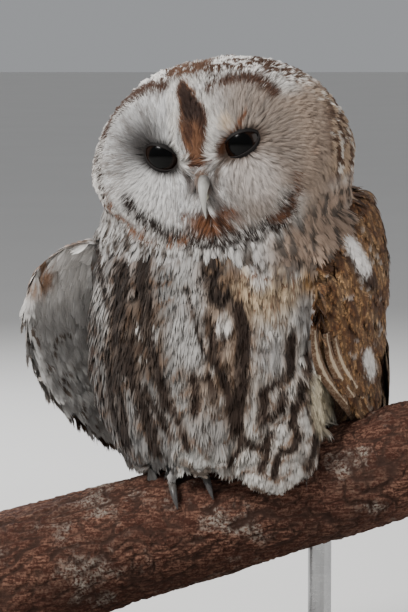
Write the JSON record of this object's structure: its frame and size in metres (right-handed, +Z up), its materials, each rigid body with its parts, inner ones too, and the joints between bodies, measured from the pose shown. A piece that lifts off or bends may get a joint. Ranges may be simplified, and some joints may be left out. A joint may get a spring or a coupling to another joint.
{
  "type": "tawny owl",
  "caption": "Still, life-size tawny owl, fluffed and looking ahead, gripping a cut length of branch held over a flat base by short upright rods.",
  "frame": {"origin": "centre of the stand base's underside", "axes": "+Z up, square to the base's underside. The owl faces -Y, turned a little towards -X, and +X is on its left. The perch runs along X and rises towards +X."},
  "size_m": [0.3217, 0.3063, 0.3705],
  "materials": {
    "plumage": "soft matt feathers, grey and white with brown markings",
    "toes": "short pale feathering",
    "claws": "dark grey horn",
    "bill": "pale ivory-grey horn",
    "eyes": "wet, nearly black",
    "bark": "rough reddish-brown bark with cut ends",
    "stand_wood": "dark satin-varnished wood",
    "stand_steel": "brushed"
  },
  "bodies": {
    "root": {"bill_lower": "bill", "bill_upper": "bill", "claw_left_hind": "claws", "claw_left_inner": "claws", "claw_left_middle": "claws", "claw_left_outer": "claws", "claw_right_hind": "claws", "claw_right_inner": "claws", "claw_right_middle": "claws", "claw_right_outer": "claws", "eye_left": "eyes", "eye_right": "eyes", "foot_left": "toes", "foot_right": "toes", "head": "plumage", "leg_left": "plumage", "leg_right": "plumage", "neck": "plumage", "perch": "bark", "stand_base": "stand_wood", "stand_collar_left": "stand_steel", "stand_collar_right": "stand_steel", "stand_rod_left": "stand_steel", "stand_rod_right": "stand_steel", "tail": "plumage", "trunk": "plumage", "wing_left": "plumage", "wing_right": "plumage"}
  },
  "joints": []
}
